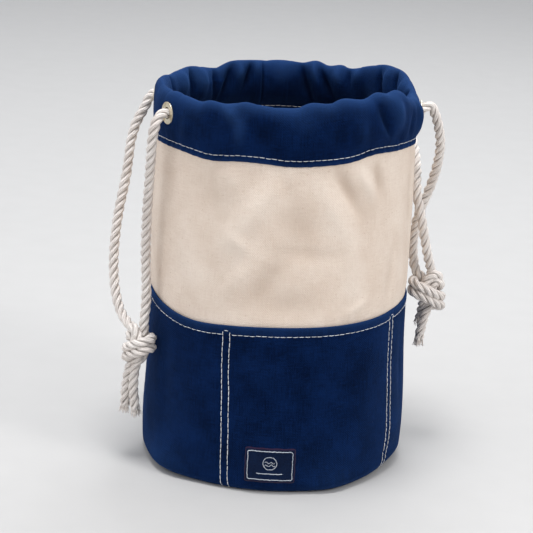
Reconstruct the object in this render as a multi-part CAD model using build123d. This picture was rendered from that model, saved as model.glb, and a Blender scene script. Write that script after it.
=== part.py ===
from build123d import *
import os
from math import cos, pi, radians, sin, tan

# Cylindrical canvas bucket bag, 200 mm across and 295 mm tall, in millimetres.
# +Z is up, the bag stands on z = 0, its axis is the Z axis and its front faces -Y.
# Angles go round the bag from the front (0) towards +X (90).

# Driving dimensions
BAG_RADIUS = 100.0        # outer face of the pocket band
BAG_HEIGHT = 295.0        # top of the folded rim
CORNER_RADIUS = 12.0      # soft edge between wall and base
CANVAS = 1.2              # one layer of body or casing canvas
POCKET_CANVAS = 1.6       # pocket band, doubled at its hem
POCKET_TOP = 130.0
BASE_RADIUS = BAG_RADIUS - CORNER_RADIUS - 2.0

CASING_BOTTOM = 250.5
CASING_BULGE = 101.5      # outer radius of the casing around the drawcords
CASING_WIDTH = 11.2       # across the folded rim, outside to inside
HEM_HEIGHT = 5.5          # flat, stitched part of the casing
FLARE_HEIGHT = 9.0        # from the flat hem to the full width of the casing
BODY_TOP = 258.0          # the body panel ends inside the casing

ROPE = 6.35               # three-strand cotton rope
GROMMET_HEIGHT = 275.0
GROMMET_HOLE = 4.3        # radius of the opening
BARREL_RADIUS = 4.9
FLANGE_RADIUS = 8.2
WASHER_RADIUS = 7.9
SHEET_METAL = 0.8
LIP = 0.4                 # rolled end of the barrel, behind the washer
STUB_END = 102.9          # radius where a drawcord ends, just outside its grommet
SWING_AXIS = 106.4        # radius where a hanging strand begins, on its swing axis

DRAWCORD_RADIUS = 95.2    # centre line of the cords inside the casing
LEFT_DRAWCORD_HEIGHT = 282.0
RIGHT_DRAWCORD_HEIGHT = 268.0
EXIT_BEND = 6.0           # bend of a drawcord into its grommet
EXIT_STEPS = (8.4, 21.5)  # degrees from a grommet to the first two points of the run
ROUND_STEPS = 23

THREAD = 0.8              # width and height of a line of thread
HEM_THREAD_RISE = 4.4     # casing stitch line above the casing's lower edge
POCKET_THREAD_DROP = 7.0  # pocket stitch line below the band's top edge
TWIN_STITCH = 5.6         # distance between the two lines of a double row
SEAM_ANGLE = -168.0       # upright seams of body and casing, at the back
FIRST_DIVIDER = -20.0
SECOND_DIVIDER = 61.0
DIVIDERS = 5

LABEL_ANGLE = 0.2
LABEL_WIDTH = 37.7
LABEL_HEIGHT = 26.5
LABEL_MIDDLE = 22.3       # height of its centre
LABEL_THICKNESS = 0.9
LABEL_INSET = 2.0         # border stitching inside the label's edge
LABEL_THREAD = 0.5

GROMMETS = {
    "left_front": -58.0,
    "left_rear": -102.0,
    "right_front": 90.0,
    "right_rear": 134.0,
}

# Centre lines of the hanging strands, from the swing axis into their knot.
STRANDS = {
    "left_front": [
        (-90.2, -56.4, 275.0), (-95.6, -59.6, 271.0), (-97.9, -58.4, 259.0),
        (-98.6, -54.6, 238.0), (-99.3, -49.0, 203.0), (-99.9, -42.5, 166.0),
        (-98.4, -37.0, 131.0), (-101.2, -32.5, 105.0), (-106.0, -30.8, 88.0),
    ],
    "left_rear": [
        (-104.1, 22.1, 275.0), (-109.6, 20.8, 266.0), (-115.6, 17.0, 246.0),
        (-120.6, 10.5, 212.0), (-126.4, 4.0, 179.0), (-128.6, -4.0, 139.0),
        (-122.4, -12.0, 112.5), (-112.0, -20.5, 99.0), (-106.5, -29.0, 88.0),
    ],
    "right_front": [
        (106.4, 0.0, 275.0), (113.6, 3.4, 274.0), (118.6, 9.0, 263.0),
        (119.9, 16.5, 244.5), (117.0, 25.0, 218.0), (108.2, 31.0, 185.5),
        (104.2, 31.0, 161.5), (107.2, 28.0, 142.0), (116.0, 24.5, 127.0),
    ],
    "right_rear": [
        (76.5, 73.9, 275.0), (83.0, 80.0, 272.0), (92.8, 76.0, 259.5),
        (101.5, 59.0, 243.5), (105.6, 40.0, 225.0), (104.8, 23.0, 206.0),
        (110.6, 15.5, 184.5), (115.8, 15.5, 160.0), (118.0, 19.5, 140.0),
        (119.0, 22.0, 126.0),
    ],
}

# Centre lines of the cord ends below each knot.
TAILS = {
    "left_outer": [
        (-109.5, -28.0, 86.0), (-112.4, -27.4, 74.0), (-114.6, -28.2, 60.0),
        (-113.4, -28.6, 46.0), (-114.8, -28.0, 33.0),
    ],
    "left_inner": [
        (-104.5, -32.0, 86.0), (-105.4, -33.0, 74.0), (-106.8, -34.0, 60.0),
        (-106.0, -33.0, 46.0), (-104.4, -32.6, 33.0),
    ],
    "right_front": [
        (115.2, 20.5, 124.0), (115.0, 19.4, 113.0), (116.0, 18.8, 102.0),
        (114.6, 18.6, 91.0), (113.4, 18.0, 82.0),
    ],
    "right_rear": [
        (112.5, 25.5, 123.0), (110.2, 26.6, 112.0), (110.6, 27.8, 102.0),
        (110.0, 27.2, 94.0),
    ],
}

KNOTS = {
    "left": (-106.6, -30.6, 89.0),
    "right": (118.0, 22.0, 127.0),
}
KNOT_WIDTH = 29.0
KNOT_HEIGHT = 27.0
KNOT_DEPTH = 18.4
KNOT_ROUNDING = 6.5


def polar(radius, angle, height):
    """Point at a distance from the bag's axis, an angle from its front and a height."""
    return Vector(radius * sin(radians(angle)), -radius * cos(radians(angle)), height)


def facing(angle, height):
    """Plane through the bag's axis that looks outwards at an angle; its y axis is up."""
    tangent = Vector(cos(radians(angle)), sin(radians(angle)), 0)
    return Plane(origin=(0, 0, height), x_dir=tangent, z_dir=polar(1, angle, 0))


def turned(section):
    """Solid of revolution about the bag's axis from a section drawn as (radius, height)."""
    return revolve(Plane.XZ * section, axis=Axis.Z)


def wall_layer(inside, outside, top):
    """Layer of the wall between two offsets from the pocket band's outer face.

    It runs from the base, round the soft corner, up to a height.
    """
    start = BASE_RADIUS
    corner = BAG_RADIUS - CORNER_RADIUS
    outer = [
        Line((start, -outside), (corner, -outside)),
        CenterArc((corner, CORNER_RADIUS), CORNER_RADIUS + outside, -90, 90),
        Line((BAG_RADIUS + outside, CORNER_RADIUS), (BAG_RADIUS + outside, top)),
    ]
    inner = [
        Line((BAG_RADIUS + inside, top), (BAG_RADIUS + inside, CORNER_RADIUS)),
        CenterArc((corner, CORNER_RADIUS), CORNER_RADIUS + inside, 0, -90),
        Line((corner, -inside), (start, -inside)),
    ]
    ends = [
        Line((BAG_RADIUS + outside, top), (BAG_RADIUS + inside, top)),
        Line((start, -inside), (start, -outside)),
    ]
    return turned(make_face(outer + inner + ends))


def ring(inner_radius, outer_radius, bottom, top):
    """Flat-sided ring about the bag's axis."""
    size = (outer_radius - inner_radius, top - bottom)
    middle = ((outer_radius + inner_radius) / 2, (top + bottom) / 2)
    return turned(Pos(*middle) * Rectangle(*size))


def disc(radius, bottom, top):
    return Pos(0, 0, (bottom + top) / 2) * Cylinder(radius, top - bottom)


def folded_casing():
    """Casing strip folded over the rim, with both its edges sewn to the body panel."""
    hem_outer = BAG_RADIUS - POCKET_CANVAS + CANVAS
    hem_inner = hem_outer - 3 * CANVAS
    inner_radius = CASING_BULGE - CASING_WIDTH
    hem_top = CASING_BOTTOM + HEM_HEIGHT
    full = hem_top + FLARE_HEIGHT
    outline = make_face(Polyline(
        (hem_outer, CASING_BOTTOM), (hem_outer, hem_top), (CASING_BULGE, full),
        (CASING_BULGE, BAG_HEIGHT), (inner_radius, BAG_HEIGHT), (inner_radius, full),
        (hem_inner, hem_top), (hem_inner, CASING_BOTTOM), close=True))
    channel = make_face(Polyline(
        (hem_outer - CANVAS, CASING_BOTTOM), (hem_outer - CANVAS, hem_top),
        (CASING_BULGE - CANVAS, full), (CASING_BULGE - CANVAS, BAG_HEIGHT - CANVAS),
        (inner_radius + CANVAS, BAG_HEIGHT - CANVAS), (inner_radius + CANVAS, full),
        (hem_inner + CANVAS, hem_top), (hem_inner + CANVAS, CASING_BOTTOM), close=True))
    fold = CASING_WIDTH / 2 - 0.01
    outline = fillet(outline.vertices().group_by(Axis.Y)[-1], fold)
    channel = fillet(channel.vertices().group_by(Axis.Y)[-1], fold - CANVAS)
    casing = turned(outline - channel)
    for angle in GROMMETS.values():
        hole = Pos(0, 0, CASING_BULGE) * Cylinder(BARREL_RADIUS, 4 * CANVAS)
        casing -= facing(angle, GROMMET_HEIGHT).location * hole
    return casing


def eyelet(angle):
    """Flanged tube of a grommet, with its end rolled over behind the washer."""
    face = CASING_BULGE + SHEET_METAL
    washer_back = CASING_BULGE - 2 * CANVAS
    lip_radius = BARREL_RADIUS + 1.1
    section = make_face(Polyline(
        (GROMMET_HOLE, washer_back - LIP), (lip_radius, washer_back - LIP),
        (lip_radius, washer_back), (BARREL_RADIUS, washer_back),
        (BARREL_RADIUS, CASING_BULGE), (FLANGE_RADIUS, CASING_BULGE),
        (FLANGE_RADIUS, face), (GROMMET_HOLE, face), close=True))
    rounded = fillet(section.vertices().group_by(Axis.Y)[-1], SHEET_METAL / 2)
    return facing(angle, GROMMET_HEIGHT).location * turned(rounded)


def washer(angle):
    """Washer of a grommet, on the inner side of the casing's outer layer."""
    back = CASING_BULGE - 2 * CANVAS
    return facing(angle, GROMMET_HEIGHT).location * ring(
        BARREL_RADIUS, WASHER_RADIUS, back, back + SHEET_METAL)


def bend_radii(points):
    """Largest tangent arc at each corner of a route, from its shorter run and its turn."""
    radii = []
    for before, corner, after in zip(points, points[1:], points[2:]):
        arriving = corner - before
        leaving = after - corner
        run = min(arriving.length, leaving.length)
        half_turn = radians(arriving.get_angle(leaving)) / 2
        radii.append(0.45 * run / tan(half_turn))
    return radii


def rope(name, route, exit_bends=False):
    """Round rope along straight runs joined by tangent arcs."""
    points = [Vector(*point) for point in route]
    radii = bend_radii(points)
    if exit_bends:
        radii[0] = EXIT_BEND
        radii[-1] = EXIT_BEND
    path = FilletPolyline(*points, radius=radii)
    start = Plane(origin=path @ 0, z_dir=path % 0)
    tube = sweep(start * Circle(ROPE / 2), path=path)
    expected = pi * (ROPE / 2) ** 2 * path.length
    print(f"{name}: length {path.length:.1f}, volume / expected {tube.volume / expected:.4f},",
          "radii", " ".join(f"{radius:.0f}" for radius in radii))
    return tube


def drawcord(name, first, last, height):
    """Cord inside the casing, from one grommet all the way round to its neighbour."""
    sweep_angle = (last - first) % 360
    near, far = EXIT_STEPS
    step = (sweep_angle - 2 * far) / ROUND_STEPS
    route = [polar(STUB_END, first, GROMMET_HEIGHT)]
    route.append(polar(DRAWCORD_RADIUS, first, GROMMET_HEIGHT))
    route.append(polar(DRAWCORD_RADIUS, first + near, (GROMMET_HEIGHT * 2 + height) / 3))
    for index in range(ROUND_STEPS + 1):
        route.append(polar(DRAWCORD_RADIUS + 0.3, first + far + index * step, height))
    route.append(polar(DRAWCORD_RADIUS, last - near, (GROMMET_HEIGHT * 2 + height) / 3))
    route.append(polar(DRAWCORD_RADIUS, last, GROMMET_HEIGHT))
    route.append(polar(STUB_END, last, GROMMET_HEIGHT))
    return rope(name, route, exit_bends=True)


def knot(centre):
    """Outer shape of an overhand knot tied in two cords, flat towards the bag."""
    middle = Vector(*centre)
    outwards = Vector(middle.X, middle.Y, 0).normalized()
    across = Vector(-outwards.Y, outwards.X, 0)
    seat = Plane(origin=middle - outwards * (KNOT_DEPTH / 2), x_dir=across, z_dir=outwards)
    pebble = extrude(seat * Ellipse(KNOT_WIDTH / 2, KNOT_HEIGHT / 2), amount=KNOT_DEPTH)
    return fillet(pebble.edges(), KNOT_ROUNDING)


def divider_angles():
    """Angles of the upright pocket seams; the ones behind are evenly spaced."""
    step = (360 - SECOND_DIVIDER + FIRST_DIVIDER) / (DIVIDERS - 1)
    return [FIRST_DIVIDER] + [SECOND_DIVIDER + index * step for index in range(DIVIDERS - 1)]


def divider_thread(angle, skin):
    """Twin row of stitches with a rounded top, lying on the pocket band."""
    top = POCKET_TOP - POCKET_THREAD_DROP + TWIN_STITCH / 2 + 1
    width = TWIN_STITCH + THREAD
    loop = SlotOverall(2 * top, width, rotation=90)
    loop -= SlotOverall(2 * top - 2 * THREAD, width - 2 * THREAD, rotation=90)
    cutter = extrude(facing(angle, 0) * loop, amount=BAG_RADIUS + 2 * THREAD)
    return skin & cutter


def seam_thread(radius, bottom, top):
    """Twin row of stitches up the back seam, on a face of the given radius."""
    rows = Rectangle(THREAD, top - bottom)
    middle = (bottom + top) / 2
    twin = Pos(-TWIN_STITCH / 2, middle) * rows + Pos(TWIN_STITCH / 2, middle) * rows
    cutter = extrude(facing(SEAM_ANGLE, 0) * twin, amount=radius + 2 * THREAD)
    return ring(radius, radius + THREAD / 2, bottom - 1, top + 1) & cutter


def label_cutter(width, height):
    outline = RectangleRounded(width, height, 1.2)
    seat = facing(LABEL_ANGLE, LABEL_MIDDLE)
    return extrude(seat * outline, amount=BAG_RADIUS + 4)


def only_front(shape):
    """Keep the part of a shape on the front half of the bag."""
    half = Pos(0, -BAG_RADIUS, POCKET_TOP / 2) * Box(300, 2 * BAG_RADIUS, 300)
    return shape & half


parts = {}

# Canvas
parts["body_panel"] = wall_layer(-POCKET_CANVAS - CANVAS, -POCKET_CANVAS, BODY_TOP)
parts["pocket_band"] = wall_layer(-POCKET_CANVAS, 0, POCKET_TOP)
parts["base_outer"] = disc(BASE_RADIUS, 0, POCKET_CANVAS)
parts["base_inner"] = disc(BASE_RADIUS, POCKET_CANVAS, POCKET_CANVAS + CANVAS)
parts["casing_band"] = folded_casing()

# Grommets
for place, angle in GROMMETS.items():
    parts[f"grommet_{place}"] = eyelet(angle)
    parts[f"washer_{place}"] = washer(angle)

# Cords inside the casing: each leaves by the two grommets of its own side
parts["drawcord_left"] = drawcord(
    "drawcord_left", GROMMETS["left_front"], GROMMETS["left_rear"], LEFT_DRAWCORD_HEIGHT)
parts["drawcord_right"] = drawcord(
    "drawcord_right", GROMMETS["right_rear"], GROMMETS["right_front"], RIGHT_DRAWCORD_HEIGHT)

# Hanging cords: strands, knots and tails
for side, centre in KNOTS.items():
    parts[f"knot_{side}"] = knot(centre)
for place, route in STRANDS.items():
    side = place.split("_")[0]
    parts[f"strand_{place}"] = rope(f"strand_{place}", route) - parts[f"knot_{side}"]
for place, route in TAILS.items():
    side = place.split("_")[0]
    parts[f"tail_{place}"] = rope(f"tail_{place}", route) - parts[f"knot_{side}"]

# Thread
hem_thread = CASING_BOTTOM + HEM_THREAD_RISE
hem_radius = BAG_RADIUS - POCKET_CANVAS + CANVAS
facing_radius = hem_radius - 3 * CANVAS
outside_row = ring(hem_radius, hem_radius + THREAD, hem_thread - THREAD / 2,
                   hem_thread + THREAD / 2)
inside_row = ring(facing_radius - THREAD / 2, facing_radius, hem_thread - THREAD / 2,
                  hem_thread + THREAD / 2)
parts["casing_hem_thread"] = Compound(children=[outside_row.solid(), inside_row.solid()])
pocket_thread = POCKET_TOP - POCKET_THREAD_DROP
parts["pocket_hem_thread"] = ring(
    BAG_RADIUS, BAG_RADIUS + THREAD / 2, pocket_thread - THREAD / 2, pocket_thread + THREAD / 2)
parts["base_seam_thread"] = ring(
    BASE_RADIUS - 3, BASE_RADIUS - 3 + THREAD, POCKET_CANVAS + CANVAS,
    POCKET_CANVAS + CANVAS + THREAD / 2)
above_floor = Pos(0, 0, BAG_RADIUS + 1) * Box(300, 300, 2 * BAG_RADIUS)
wall_skin = wall_layer(0, THREAD / 2, POCKET_TOP) & above_floor
for number, angle in enumerate(divider_angles(), start=1):
    divider = divider_thread(angle, wall_skin)
    parts[f"pocket_divider_thread_{number}"] = divider
    parts["pocket_hem_thread"] -= divider
parts["body_seam_thread"] = seam_thread(
    BAG_RADIUS - POCKET_CANVAS, POCKET_TOP + 1, CASING_BOTTOM - 1)

# Label
label_skin = wall_layer(0, LABEL_THICKNESS, POCKET_TOP)
parts["label_patch"] = only_front(label_skin & label_cutter(LABEL_WIDTH, LABEL_HEIGHT))
border_skin = wall_layer(LABEL_THICKNESS, LABEL_THICKNESS + LABEL_THREAD, POCKET_TOP)
border_width = LABEL_WIDTH - 2 * LABEL_INSET
border_height = LABEL_HEIGHT - 2 * LABEL_INSET
border = label_cutter(border_width, border_height) - label_cutter(
    border_width - 2 * LABEL_THREAD, border_height - 2 * LABEL_THREAD)
parts["label_thread"] = only_front(border_skin & border)

os.makedirs("parts", exist_ok=True)
for name, shape in parts.items():
    export_step(shape, f"parts/{name}.step")
print(len(parts), "nodes")
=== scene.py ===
import math

import bpy
import numpy as np
from mathutils import Matrix, Vector


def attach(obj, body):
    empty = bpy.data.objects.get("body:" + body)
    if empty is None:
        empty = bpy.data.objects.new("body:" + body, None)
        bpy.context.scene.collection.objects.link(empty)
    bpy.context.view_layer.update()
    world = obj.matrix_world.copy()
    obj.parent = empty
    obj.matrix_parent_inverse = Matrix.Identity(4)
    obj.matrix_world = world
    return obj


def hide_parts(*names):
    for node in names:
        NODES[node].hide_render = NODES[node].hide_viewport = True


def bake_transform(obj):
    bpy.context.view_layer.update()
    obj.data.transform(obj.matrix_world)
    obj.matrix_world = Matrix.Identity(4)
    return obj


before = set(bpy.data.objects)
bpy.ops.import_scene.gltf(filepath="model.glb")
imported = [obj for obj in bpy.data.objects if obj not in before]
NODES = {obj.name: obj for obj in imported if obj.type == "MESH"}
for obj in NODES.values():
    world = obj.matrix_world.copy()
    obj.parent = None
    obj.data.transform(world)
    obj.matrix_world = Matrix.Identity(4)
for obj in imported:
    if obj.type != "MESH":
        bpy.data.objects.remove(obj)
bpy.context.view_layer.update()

MM = 0.001
SCENE = bpy.context.scene

# ---- sizes of the bag
BAG_RADIUS = 100.0
CORNER_RADIUS = 7.0       # of the bottom edge
BASE_RADIUS = 86.0
POCKET_CANVAS = 1.6       # from the pocket band's face in to the body's
CANVAS = 1.2
CASING_BULGE = 101.5
GROMMET_HEIGHT = 275.0
GROMMETS = {"left_front": -58.0, "left_rear": -102.0, "right_front": 90.0, "right_rear": 134.0}
GROMMET_CUT = 5.4         # radius of the hole in the cloth, under the flange
GROMMET_FLAT = (8.6, 17)  # cloth lies flat out to the first radius, free beyond the second
SEAM_ANGLE = -168.0
SEAM_THICKNESS = 0.55     # how far the body's back seam stands out
CASING_LAP = 0.9          # the same for the casing's, outwards and inwards
DIVIDER_ANGLES = (-21.0, 61.0, 130.75, 200.5, 270.25)
DIVIDER_FEET = (4.2, 2.6, 0.5, -0.5, 0.8)     # shift of each seam's foot, towards +angles
DIVIDER_START = 9.5       # distance up the pocket band where the dividers' stitches begin
DIVIDER_STITCH = {"pitch": 4.1, "length": 3.8, "thread": 0.27}
TWIN_STITCH = 5.6
LABEL_ANGLE = 0.2
LABEL_SIZE = (37.0, 26.8)
LABEL_MIDDLE = 22.9
LABEL_THICKNESS = 0.9
LABEL_BORDER = 2.2        # from the label's edge in to its border stitching
BOTTOM_ROLL = (68, 22.0, 5.5)       # angle, spread and height of the bottom edge's roll
FACING_DEPTH = 1.35       # factor on the listed folds of the casing's inner face
FRONT_PLEAT_DEPTH = 3.4   # of the even pleats behind the casing's front half

# Heights round the bag: (angle, height)
RIM = [
    (-168, 292), (-152, 292), (-143, 287.5), (-131, 290), (-116, 290), (-108, 288.5), (-97, 291),
    (-86, 292), (-64, 290), (-54, 290.5), (-40, 288.5), (-35, 290.6), (-27, 290), (-18, 292.7),
    (-6, 291), (4, 291), (10, 294.6), (19, 294.6), (23, 296.8), (37, 297.4), (42, 300),
    (50, 298.6), (55, 300), (69, 291.5), (86, 287), (96, 290), (112, 298.5), (131, 298),
    (141, 294), (149, 290.5), (152, 292), (160, 291), (166, 293.5), (173, 291), (179, 292.5),
]
CASING_HEM = [
    (-160, 250.5), (-120, 250.2), (-90, 250.8), (-70, 250.3), (-50, 250), (-30, 248.2),
    (-19, 250.3), (-7, 250.3), (1, 249.2), (16, 250), (31, 252.5), (38, 255.2), (57, 255),
    (69, 254.3), (81, 252.7), (100, 251.3), (140, 250.4), (170, 250.9),
]
POCKET_EDGE = [
    (-170, 131), (-140, 131.5), (-100, 132.5), (-71, 132.5), (-61, 130), (-52, 127.8), (-41, 126),
    (-33, 126), (-23, 127.2), (-7, 129.3), (28, 130), (40, 130.4), (57, 131.6), (77, 133.3),
    (110, 133), (150, 131.2),
]
POCKET_STITCH_DROP = 7.0
CASING_STITCH_RISE = 4.4

# Soft folds of the cloth: angle, height, half width, half length, lean, depth (mm, outwards).
# The lean is the tilt of the fold's long direction, positive where its top leans left.
BODY_FOLDS = [
    (88, 190, 58, 90, 0, 2.2), (29, 231, 5.2, 21, 32, -3.1), (37.5, 235, 5.6, 15, 30, 3.2),
    (45.5, 237, 5.2, 14, 24, -2.4), (22.5, 216, 8.5, 22, 26, 2.2), (32.5, 176, 7.5, 34, 6, 1.9),
    (1, 236, 5, 14, 24, -0.9), (-12.5, 212, 9.5, 32, -36, 2.5), (-17, 189, 6, 11, 60, 1.4),
    (8, 204, 14, 18, 40, -1.9), (12, 184, 6, 24, 84, -1), (-17, 164, 6.5, 18, -37, 1.5),
    (-5, 162, 8, 24, -34, -1.9), (4, 146, 22, 12, 0, -1.6), (36, 141, 3.4, 11, -66, 1.3),
    (-30, 222, 13, 20, 30, -1.3), (-22, 236, 9, 10, 20, 1.1), (-42, 170, 13, 34, 12, 1.4),
    (-57, 214, 9, 34, -4, -0.5), (-92, 190, 36, 76, 0, 1.3), (64, 180, 8, 45, 6, 1.4),
    (57, 160, 5, 24, -10, -1), (74, 215, 5, 30, 4, -1.2), (98, 205, 8, 34, -8, -1.5),
    (122, 180, 12, 36, 20, 1.6), (150, 215, 7, 26, -22, -2), (138, 150, 7, 20, 30, 1.3),
    (-105, 214, 8, 30, 16, -1.8), (-128, 180, 12, 34, -18, 1.7), (-150, 222, 8, 20, 24, -1.8),
    (178, 175, 14, 30, 25, -1.6), (162, 226, 6, 18, -30, 1.6),
]
CASING_FOLDS = [
    (-22.5, 285, 4.4, 11, 42, 3.6), (-18, 273, 4.4, 9, -4, 2.8), (-9, 272, 8, 10, 10, -2.8),
    (-30, 280, 7, 8, 60, -1.3), (8, 281, 9, 8, 0, 1.3), (20, 268, 13, 9, 20, -1.8),
    (33, 275, 6, 12, 10, 1.2), (45.5, 280, 3.2, 14, 34, -3.6), (53.5, 285, 6.5, 12, 26, 4.4),
    (57, 265, 8, 7, 0, -2.2), (68, 270, 4.2, 13, -14, -1.8), (80, 277, 6, 12, 0, 3.2),
    (84, 261, 9, 12, 0, 1.9), (-46, 268, 4, 9, -8, 0.8), (-82, 276, 17, 24, 0, -2.3),
    (-124, 276, 4, 11, 14, 1.2), (-133, 272, 4, 10, -12, -1.2), (-147, 278, 4, 10, 18, 1.2),
    (-175, 270, 6, 12, 10, -1.3), (170, 276, 4.5, 12, -16, 1.3), (160, 274, 4, 10, 12, 1.2),
    (146, 268, 5, 10, 12, -1), (112, 274, 4, 12, 12, 1.3),
]
# The casing's inner face; depth is towards the middle of the bag.
FACING_FOLDS = [
    (-104, 284, 3.4, 12, 6, -2.2), (-116, 284, 6, 13, 0, 2.8), (-124.3, 279, 3.2, 13, 2, -3.3),
    (-132, 281, 5.4, 13, 2, 3.2), (-140.5, 276, 3.2, 12, 4, -3.2),
    (-147.5, 276, 3.4, 14, 27, -3.5), (-154.5, 284, 3.8, 8, 10, 2.6),
    (-159.5, 281, 2.8, 11, 24, -3.4), (-164, 288, 3.2, 7, 8, 1.4),
    (-167.2, 276, 1.2, 26, 0, -1.8), (-177, 282, 9, 16, 0, 1.8), (170.8, 277, 3.4, 17, -22, -3.4),
    (166, 286, 3.6, 10, -20, 3), (160, 277, 3.4, 13, -36, -3.4), (154.4, 285, 4.6, 9, -25, 2.8),
    (148.3, 285, 3, 9, -20, -2.3), (143, 288, 4, 7, -10, 1.8), (138, 272, 8, 11, 0, -2),
    (126, 282, 3.2, 12, -14, -3.2), (120, 287, 4, 12, -10, 2.8), (111.5, 288, 3.2, 11, -18, -2.8),
    (103, 288, 4, 10, 0, 2), (95, 284, 3.2, 12, 8, -2.2), (87, 286, 4, 12, 0, 1.8),
]
POCKET_FOLDS = [
    (88, 38, 55, 42, 0, 2.6), (-88, 30, 60, 34, 0, 2.2), (12, 22, 70, 26, 0, 1.6),
    (-50, 6, 26, 17, 0, 7), (27, 4, 18, 16, 0, 5), (65, 6, 22, 15, 0, -2),
    (-88, 132, 34, 16, 0, -0.7), (-55, 70, 9, 42, 4, -1), (-38, 60, 14, 40, -6, 0.7),
    (20, 84, 24, 26, 30, -1), (-6, 96, 16, 16, 0, 0.7), (44, 60, 12, 34, -8, 0.8),
    (75, 80, 6, 36, 3, -1.1), (96, 60, 14, 34, 10, 0.9), (115, 90, 8, 26, -14, -1.1),
    (150, 66, 12, 34, 10, -1.1), (-110, 80, 9, 34, 12, -1.2), (-130, 60, 12, 30, -16, 1),
    (-150, 86, 10, 26, 12, -1), (178, 84, 12, 30, -12, 1),
]

# ---- cords
# Control points of the hanging strands, from the grommet down to their knot.
STRANDS = {
    "left_front": [
        (-90.2, -56.4, 275), (-94.4, -60.6, 269.6), (-96.8, -61, 254), (-97.6, -56, 232),
        (-99.4, -50, 203), (-100.1, -45.5, 166), (-98.2, -44.6, 131), (-99.6, -46.4, 114)],
    "left_rear": [
        (-104.4, 22.2, 274), (-107.6, 21.4, 265.5), (-117.8, 17, 246), (-120.2, 10.5, 212),
        (-126.6, 3, 179), (-128, -7, 139), (-121.4, -20, 113), (-111.5, -33, 104.5)],
    "right_front": [
        (104.6, 0.4, 277.3), (109.6, 2.8, 280), (115.6, 8, 266.5), (119.8, 13.5, 250),
        (119.6, 21.5, 231), (114.4, 28, 207), (106.4, 31.6, 184), (104.4, 31, 162),
        (107.2, 28, 141)],
    "right_rear": [
        (76.5, 73.9, 275), (83, 80, 272), (92, 76, 259.5), (100.6, 59, 243.5),
        (104.6, 40, 225), (104.2, 23, 206), (109.8, 15.5, 184.5), (115, 15.5, 160)],
}
# Control points of the cord ends, from under the knot down.
TAILS = {
    "left_outer": [(-109.2, -41, 78), (-112, -40, 65), (-113.2, -39.4, 52), (-113, -39, 36)],
    "left_inner": [(-105.6, -46, 78), (-106.6, -46.6, 66), (-106.4, -46, 52), (-103.6, -44.4, 35)],
    "right_front": [(118.2, 19.6, 113), (115.4, 18.8, 103), (113.8, 18.5, 92), (113, 18, 82)],
    "right_rear": [(115, 25.6, 112), (113.6, 27.4, 104), (112.8, 28, 97)],
}
# Overhand knot tied in two cords: control points of their common middle and the direction
# from it to the second cord. x is across, y to the knot's front, z up, from its middle.
KNOT_RUN = [
    ((-2, -2.9, 10), (1, 0, 0)), ((-0.5, -2.9, -2), (1, 0, 0)),
    ((-2.5, -3.4, -9), (0.75, 0, -0.66)), ((-9.5, -2.2, -9.5), (0.1, 0, -1)),
    ((-12, 4.5, -7), (0, 0.1, -1)), ((-5, 9.4, -4), (0, 0, -1)),
    ((3.5, 9.3, 0.5), (0.1, 0, -1)), ((11.5, 6.5, 4), (0.2, 0, -1)),
    ((12.3, -2.5, 5), (0, 0, -1)), ((5.5, -9.2, 4), (0, 0, -1)),
    ((-4, -9.3, 3), (0, 0, -1)), ((-10.5, -5, 5), (0, 0, -1)),
    ((-10, 2.5, 9.5), (-0.3, 0, -0.95)), ((-3, 4, 12.3), (-0.5, 0, -0.86)),
    ((0.6, 3, 4), (-1, 0, 0)), ((0, 2.6, -7), (-1, 0, 0)),
]
KNOT_HALF_GAP = 3.45
# middle of the knot, turn of its width from the x axis in degrees, hand, share of its depth
KNOTS = {
    "left": ((-102.8, -45.5, 92.3), -48, 1, 0.82),
    "right": ((117.4, 22, 127), 15, -1, 1.0),
}
# Each rope: its strand, the cord of the knot that it is, its tail
ROPES = {
    "left_front": (1, "left_outer"),
    "left_rear": (-1, "left_inner"),
    "right_front": (1, "right_front"),
    "right_rear": (-1, "right_rear"),
}
DRAWCORDS = {
    "left": ("left_front", "left_rear", 282.0),
    "right": ("right_rear", "right_front", 268.0),
}
DRAWCORD_RADIUS = 95.4
DRAWCORD_THICKNESS = 0.72           # share of a hanging rope's: pressed thin in its sleeve
DRAWCORD_FOLLOWS = (0.4, 0.35)      # share of the sleeve's outer and inner folds it follows
ROPE_STARTS = 96.5        # radii along a grommet: inside the sleeve, the cloth, the mouth
CLOTH_FACE = 101.0
GROMMET_MOUTH = 102.3
BLEND_REACH = 6.0         # distance out from the cloth's face and down from the grommet's height
LAY_LENGTH = 20.8         # one turn of the rope's strands
STRAND_RADIUS = 1.84
STRAND_OFFSET = 2.02
RING_STEP = 0.8
STRAND_SIDES = 24
YARNS = 8
FRAY = 6.5                # how far before a rope's end its strands turn into loose yarns


def polar(radius, angle, height):
    """Points at radii, angles in degrees and heights, as an array of x, y, z."""
    turn = np.radians(angle)
    x, y, z = np.broadcast_arrays(radius * np.sin(turn), -radius * np.cos(turn), height)
    return np.stack([x, y, z], -1).astype(float)


def smoothstep(value, low, high):
    t = np.clip((value - low) / (high - low), 0, 1)
    return t * t * (3 - 2 * t)


def wrapped(angle):
    """Angle brought between -180 and 180 degrees."""
    return (np.asarray(angle, float) + 180) % 360 - 180


def wall_distance(angle, middle):
    """Distance round the wall from a middle angle, negative before it."""
    return np.radians(wrapped(angle - middle)) * BAG_RADIUS


def around(pairs):
    """Smooth closed curve through (angle, value) pairs, as a function of the angle."""
    angles, values = np.array(sorted(pairs), float).T
    angles = np.concatenate([angles - 360, angles, angles + 360])
    values = np.tile(values, 3)
    slopes = np.gradient(values, angles)

    def value_at(angle):
        a = wrapped(angle)
        i = np.searchsorted(angles, a, side="right") - 1
        span = angles[i + 1] - angles[i]
        t = (a - angles[i]) / span
        rise = values[i + 1] - values[i]
        return (values[i] + t * t * (3 - 2 * t) * rise
                + t * (1 - t) ** 2 * span * slopes[i] - t * t * (1 - t) * span * slopes[i + 1])

    return value_at


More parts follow.
